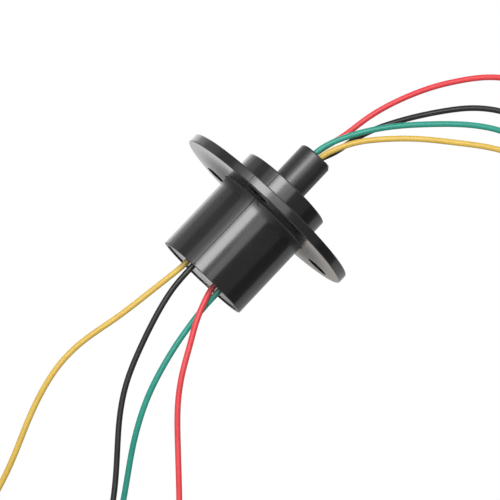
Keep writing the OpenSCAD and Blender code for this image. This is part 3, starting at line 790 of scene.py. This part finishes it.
lumps("moulding_nubs", [
    (on_body(257, -0.4), (0.16, 0.2, 0.12)),
    (on_body(259, -0.65), (0.2, 0.16, 0.14)),
    (on_body(261, -0.9), (0.13, 0.13, 0.12)),
    (on_body(254, -19.0), (0.2, 0.16, 0.16)),
], "stator", housing_finish.material)
shaft_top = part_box("rotor_shaft")[1].z / MM
lumps("epoxy_smear", [
    ((2.5, -1.2, shaft_top - 0.1), (0.7, 0.6, 0.42)),
    ((3.1, -0.5, shaft_top - 0.05), (0.45, 0.6, 0.36)),
    ((2.0, -1.9, shaft_top - 0.15), (0.5, 0.45, 0.3)),
], "rotor", epoxy.material)

# %% [markdown]
# ## Solder
# Every brush is soldered to its board near both ends of its base, and each lead's bare end is soldered up its
# track. The beads could be copied by hand, one by one. They repeat by rule, so Geometry Nodes sets one bead
# on each point of a small list. `Tree` builds such a generator: named inputs, nodes, and one result.

# %% Generator trees


class Tree:
    """A Geometry Nodes tree that turns points into one kind of piece, with named inputs for its sizes."""

    def __init__(self, name, *sizes):
        self.group = bpy.data.node_groups.new(name, "GeometryNodeTree")
        face = self.group.interface
        face.new_socket("Points", in_out="INPUT", socket_type="NodeSocketGeometry")
        for label in sizes:
            face.new_socket(label, in_out="INPUT", socket_type="NodeSocketFloat")
        face.new_socket("Material", in_out="INPUT", socket_type="NodeSocketMaterial")
        face.new_socket("Result", in_out="OUTPUT", socket_type="NodeSocketGeometry")
        self.given = self.group.nodes.new("NodeGroupInput").outputs

    def add(self, kind, inputs=None, settings=None):
        """One node, and its first output. Inputs that are sockets are linked, and the others are set."""
        node = self.group.nodes.new(kind)
        for key, value in (settings or {}).items():
            setattr(node, key, value)
        for key, value in (inputs or {}).items():
            if isinstance(value, bpy.types.NodeSocket):
                self.group.links.new(value, node.inputs[key])
            else:
                node.inputs[key].default_value = value
        return node.outputs[0] if node.outputs else None

    def on_points(self, thing):
        """One real copy of a thing on each of the points."""
        copies = self.add("GeometryNodeInstanceOnPoints", {"Points": self.given["Points"], "Instance": thing})
        return self.add("GeometryNodeRealizeInstances", {"Geometry": copies})

    def result(self, geometry):
        """Gives the geometry its material and makes it the tree's result."""
        material = self.given["Material"]
        paint = self.add("GeometryNodeSetMaterial", {"Geometry": geometry, "Material": material})
        self.add("NodeGroupOutput", {"Result": paint})
        return self.group


print("a tree can", ", ".join(word for word in vars(Tree) if not word.startswith("_")))

# %% Growing a piece


def grow(name, points, group, **values):
    """Runs a generator on a list of points in millimetres, and returns the mesh that it makes."""
    seed = bpy.data.meshes.new(name + "_seed")
    seed.from_pydata([Vector(p) * MM for p in points], [], [])
    holder = bpy.data.objects.new(name + "_seed", seed)
    SCENE.collection.objects.link(holder)
    modifier = holder.modifiers.new("grow", "NODES")
    modifier.node_group = group
    sockets = {s.name: s.identifier for s in group.interface.items_tree if s.in_out == "INPUT"}
    for label, value in values.items():
        modifier[sockets[label.replace("_", " ")]] = value
    ready = holder.evaluated_get(bpy.context.evaluated_depsgraph_get())
    mesh = bpy.data.meshes.new_from_object(ready)
    bpy.data.objects.remove(holder)
    bpy.data.meshes.remove(seed)
    print(name, "grew on", len(points), "points")
    return mesh


# %% Solder beads
BEAD_R = 0.45
BEAD_FLAT = 0.5
BASE_ENDS = 3.4  # from a board's middle line to both ends of a brush's base
BASE_OFF = 0.1  # how far the middle of a brush's bead lies off the board's face
PAD_OFF = 0.15  # the same for a lead's bead
PAD_BELOW = 0.5  # from the top of a lead's bare end down to its bead


def bead_tree():
    """One flattened bead on every point."""
    tree = Tree("beads_on_points", "Bead Radius", "Bead Flatness")
    ball = tree.add("GeometryNodeMeshUVSphere", {
        "Segments": 20, "Rings": 12, "Radius": tree.given["Bead Radius"]})
    scale = tree.add("ShaderNodeCombineXYZ", {"X": tree.given["Bead Flatness"], "Y": 1.3, "Z": 1.0})
    bead = tree.add("GeometryNodeTransform", {"Geometry": ball, "Scale": scale})
    return tree.result(tree.on_points(bead))


solder = Finish("solder", Metallic=1.0)
frost = solder.noise(0.25, 4.0)
solder.set("Base Color", frost.colours((0.48, 0.48, 0.49), (0.68, 0.68, 0.70)))
solder.set("Roughness", 0.22 + frost * 0.3)
solder.relief(frost, 0.02)

beads = bead_tree()
PAD_Y = {"yellow": -5.2, "red": -4.0, "black": -4.0, "green": -5.2}
for side, sign, circuits in (("left", -1, ("yellow", "black")), ("right", 1, ("red", "green"))):
    face_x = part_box("brush_board_" + side)[0 if sign > 0 else 1].x / MM
    spots = []
    for circuit in circuits:
        low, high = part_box("brush_" + circuit)
        middle = (low.z + high.z) / 2 / MM
        spots += [(face_x - sign * BASE_OFF, y, middle) for y in (-BASE_ENDS, BASE_ENDS)]
        core_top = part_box("stator_core_" + circuit)[1].z / MM
        spots += [(face_x - sign * PAD_OFF, PAD_Y[circuit], core_top - PAD_BELOW)]
    mesh = grow(
        "solder_" + side, spots, beads, Bead_Radius=BEAD_R * MM, Bead_Flatness=BEAD_FLAT,
        Material=solder.material)
    add_piece("solder_" + side, mesh, "stator", None)

# %% [markdown]
# ## Ends and ties
# Each lead's last 3 mm are stripped: seven tinned strands, twisted together. Each strand could be drawn as a
# helix of its own, but a bundle is easier: Geometry Nodes lays the strands side by side as straight lines,
# winds the whole bundle about its middle, and gives each strand its round section.

# %% Twisted strands
STRAND_R = 0.09
TIP = 3.0
TWIST = 150.0  # turns in a metre


def strand_tree():
    """A bundle of strands along X, one from each point, wound about its own middle."""
    tree = Tree("twisted_strands", "Bundle Length", "Strand Radius", "Turns Per Metre")
    given = tree.given
    end = tree.add("ShaderNodeCombineXYZ", {"X": given["Bundle Length"]})
    line = tree.add("GeometryNodeCurvePrimitiveLine", {"End": end})
    fine = tree.add("GeometryNodeResampleCurve", {"Curve": line, "Count": 24})
    straight = tree.on_points(fine)
    place = tree.add("GeometryNodeInputPosition")
    along = tree.add("ShaderNodeSeparateXYZ", {"Vector": place})
    times = {"operation": "MULTIPLY"}
    turns = tree.add("ShaderNodeMath", {0: along, 1: given["Turns Per Metre"]}, times)
    angle = tree.add("ShaderNodeMath", {0: turns, 1: 2 * math.pi}, times)
    wind = tree.add("ShaderNodeVectorRotate", {"Vector": place, "Angle": angle}, {"rotation_type": "X_AXIS"})
    twisted = tree.add("GeometryNodeSetPosition", {"Geometry": straight, "Position": wind})
    section = tree.add("GeometryNodeCurvePrimitiveCircle", {
        "Resolution": 10, "Radius": given["Strand Radius"]})
    tube = tree.add("GeometryNodeCurveToMesh", {
        "Curve": twisted, "Profile Curve": section, "Fill Caps": True})
    return tree.result(tube)


sixths = [math.radians(a) for a in range(0, 360, 60)]
starts = [(0, 0, 0)] + [(0, 2 * STRAND_R * math.cos(a), 2 * STRAND_R * math.sin(a)) for a in sixths]
bundle = grow(
    "strands", starts, strand_tree(), Bundle_Length=TIP * MM, Strand_Radius=STRAND_R * MM,
    Turns_Per_Metre=TWIST, Material=solder.material)

# %% [markdown]
# A small tie holds each coil: a soft black band drawn round its four turns. A torus would stand off the
# bundle's square section, so the band is swept round a square with rounded corners.

# %% Tie rubber
rubber = Finish("tie_rubber", Specular_IOR_Level=0.3)
rub = rubber.noise(0.15, 3.0)
rubber.set("Base Color", rub.colours((0.012, 0.012, 0.012), (0.03, 0.03, 0.03)))
rubber.set("Roughness", 0.6 + rub * 0.15)
rubber.relief(rub, 0.01)
print(rubber.material.name, "is ready for", len(LEADS), "ties")

# %% Ties
TIE_WIDTH = 1.4
TIE_HALF = LAYER + 0.06  # from the middle of the coil's section to the band
TIE_CORNER = 0.5
TIE_THICK = 0.16
TIE_EDGE = 0.12  # the chamfer along both edges
TIE_ANGLE = math.radians(55)


def tie_mesh(centre, angle):
    """A band round a coil's section, at one angle round the coil."""
    out_dir = Vector((math.cos(angle), 0, math.sin(angle)))
    along = Vector((-math.sin(angle), 0, math.cos(angle)))
    middle = centre + out_dir * (COIL_R - LAYER / 2) + Vector((0, LAYER / 2, 0))
    shape = bmesh.new()
    loops = []
    inner = TIE_HALF - TIE_CORNER
    turns = [(sx, sy, a) for sx, sy, first in ((1, 1, 0), (-1, 1, 90), (-1, -1, 180), (1, -1, 270))
             for a in range(first, first + 91, 18)]
    side = TIE_WIDTH / 2
    section = ((0, -side), (TIE_THICK, -side + TIE_EDGE), (TIE_THICK, side - TIE_EDGE), (0, side))
    for sx, sy, a in turns:
        t = math.radians(a)
        loop = []
        for rise, shift in section:
            u = sx * inner + (TIE_CORNER + rise) * math.cos(t)
            v = sy * inner + (TIE_CORNER + rise) * math.sin(t)
            loop.append(shape.verts.new((middle + out_dir * u + Vector((0, v, 0)) + along * shift) * MM))
        loops.append(loop)
    for a, b in zip(loops, loops[1:] + loops[:1]):
        for k in range(len(section)):
            n = (k + 1) % len(section)
            shape.faces.new((a[k], a[n], b[n], b[k]))
    bmesh.ops.recalc_face_normals(shape, faces=shape.faces)
    mesh = bpy.data.meshes.new("tie")
    shape.to_mesh(mesh)
    shape.free()
    return mesh


print("a tie is", TIE_WIDTH, "mm wide, round a section", round(2 * TIE_HALF, 2), "mm across")

# %% [markdown]
# ## The finished cords
# A cord is its lead with the pieces on it, the tip and the tie. The tips are copies of one bundle, each
# turned so that its X axis points the way its wire ends.

# %% Tips and ties
for name, lead in LEADS.items():
    side = name.split("_")[0]
    path = PATHS[name]
    heading = (path[-1] - path[-2]).normalized()
    tip = bundle.copy()
    tip.transform(Matrix.Translation(path[-1] * MM) @ heading.to_track_quat("X", "Z").to_matrix().to_4x4())
    tip_piece = add_piece("tip_" + name, tip, side, None)
    centre = Vector(ROUTES[name][-1]) + Vector((COIL_R, 0, -DROP))
    tie = tie_mesh(centre, TIE_ANGLE)
    tie_piece = add_piece("tie_" + name, tie, side, rubber.material)

# %% [markdown]
# ## Studio
# Black gloss shows little of its own colour, so the studio is built from what it reflects. A mirror-like
# cylinder shows each direction round the studio as one streak along its axis, and each tall panel here fills
# one such range of azimuths. The key and its softer edges stand a little left of the camera and draw the long
# bright streak. A bridge and a front panel draw the second, dimmer streak, and weak panels keep the rest dark
# grey. Panels behind lighten what is seen at a grazing angle: the sides of the cylinders and the underside of
# the flange. The top panel lights the leads and the collar from above. One large lamp would be simpler, but
# it would draw one even streak.

# %% Light panel
FRONT = (-18, 28)  # from the lower to the upper edge of a panel in front, in degrees
BACK = (-22, 32)  # the same at the sides and behind
AWAY = 0.7  # metres


def panel(name, left, right, radiance, low=FRONT[0], high=FRONT[1], tint=(1, 1, 1)):
    """A soft light that faces the part across those azimuths and elevations. Azimuth 0 is the front."""
    a = math.radians((left + right) / 2)
    e = math.radians((low + high) / 2)
    direction = Vector((math.sin(a) * math.cos(e), -math.cos(a) * math.cos(e), math.sin(e)))
    data = bpy.data.lights.new(name, "AREA")
    data.shape = "RECTANGLE"
    data.size = 2 * AWAY * math.tan(math.radians(right - left) / 2)
    data.size_y = 2 * AWAY * math.tan(math.radians(high - low) / 2)
    data.energy = radiance * math.pi * data.size * data.size_y
    data.color = tint
    lamp = bpy.data.objects.new(name, data)
    lamp.location = direction * AWAY
    lamp.rotation_euler = direction.to_track_quat("Z", "Y").to_euler()
    lamp.visible_camera = False
    SCENE.collection.objects.link(lamp)
    print(name, "is", round(data.size * PER_METRE), "by", round(data.size_y * PER_METRE), "mm")


# %% Lights
panel("key", -29, -9, 7.0)
panel("key_fade", -38, -29, 2.6)
panel("key_edge", -46, -38, 1.2)
panel("side", -60, -46, 0.8)
panel("side_dim", -88, -60, 0.24)
panel("bridge", -9, 4, 3.3, low=6.5)
panel("bridge_dim", -9, 4, 0.3, high=6.5)
panel("front", 4, 20, 1.55)
panel("right_dim", 24, 70, 0.15)
panel("right_back", 108, 140, 0.42, *BACK)
panel("left_mid", -118, -88, 0.5, *BACK)
panel("left_back", -136, -118, 0.88, *BACK)
panel("left_edge", -180, -136, 1.6, 0, BACK[1])
panel("right_edge", 140, 180, 0.4, 0, BACK[1])
panel("backdrop_left", -180, -140, 0.96, -28, 0, (1.0, 0.98, 0.99))
panel("backdrop_right", 140, 180, 0.54, -28, 0, (1.0, 0.93, 0.86))
panel("top", -30, 30, 0.8, 55, 105)

# %% [markdown]
# ## White background
# The background is white because of what the camera sees and not because of more light. One way would be a
# bright world, but black gloss would mirror it and turn pale. So the world is white for camera rays alone,
# and dim for the rest. The paper on the floor glows a little for camera rays too, and keeps a soft shadow. It
# lies below the leads, and it is clear from below, so that a low camera looks past it.

# %% World
AMBIENT = 0.12
world = bpy.data.worlds.new("studio")
SCENE.world = world
world.use_nodes = True
sky = world.node_tree
for node in list(sky.nodes):
    sky.nodes.remove(node)
ray = sky.nodes.new("ShaderNodeLightPath")
blend = sky.nodes.new("ShaderNodeMixShader")
surface = sky.nodes.new("ShaderNodeOutputWorld")
sky.links.new(ray.outputs["Is Camera Ray"], blend.inputs["Fac"])
for slot, colour, strength in ((1, (0.96, 0.98, 1, 1), AMBIENT), (2, (1, 1, 1, 1), 1.0)):
    background = sky.nodes.new("ShaderNodeBackground")
    background.inputs["Color"].default_value = colour
    background.inputs["Strength"].default_value = strength
    sky.links.new(background.outputs["Background"], blend.inputs[slot])
sky.links.new(blend.outputs["Shader"], surface.inputs["Surface"])
print("the world lights with", AMBIENT, "and shows white")

# %% Paper on the floor
FLOOR_Z = -0.115  # metres
FLOOR_HALF = 0.4  # metres
floor_mesh = bpy.data.meshes.new("floor")
corners = [(x * FLOOR_HALF, y * FLOOR_HALF, FLOOR_Z) for x, y in ((-1, -1), (1, -1), (1, 1), (-1, 1))]
floor_mesh.from_pydata(corners, [], [(0, 1, 2, 3)])
floor = bpy.data.objects.new("floor", floor_mesh)
SCENE.collection.objects.link(floor)
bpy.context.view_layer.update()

# %% Look of the paper
GLOW = 0.55
paper = Finish("floor_paper", Specular_IOR_Level=0.1)
paper.set("Base Color", paper.noise(60.0).colours((0.80, 0.80, 0.80), (0.84, 0.84, 0.84)))
paper.set("Roughness", 0.9)
paper.relief(paper.noise(2.0), 0.02)
underside = paper.node("ShaderNodeNewGeometry", out="Backfacing")
see_through = paper.node("ShaderNodeBsdfTransparent", out="BSDF")
glow = paper.node("ShaderNodeEmission", {"Color": (1.0, 1.0, 1.0), "Strength": 1.0}, out="Emission")
seen = paper.node("ShaderNodeLightPath", out="Is Camera Ray") * GLOW
plain = Field(paper, paper.shader.outputs["BSDF"])
upper_side = paper.node("ShaderNodeMixShader", {0: seen, 1: plain, 2: glow})
sheet = paper.node("ShaderNodeMixShader", {0: underside, 1: upper_side, 2: see_through})
paper.put(paper.tree.nodes["Material Output"].inputs["Surface"], sheet)
floor_mesh.materials.append(paper.material)
print("the paper glows by", GLOW, "for the camera")

# %% [markdown]
# ## Finish
# Colours are shown as they are written, without a film-like curve.

# %% Finish
SCENE.view_settings.view_transform = "Standard"
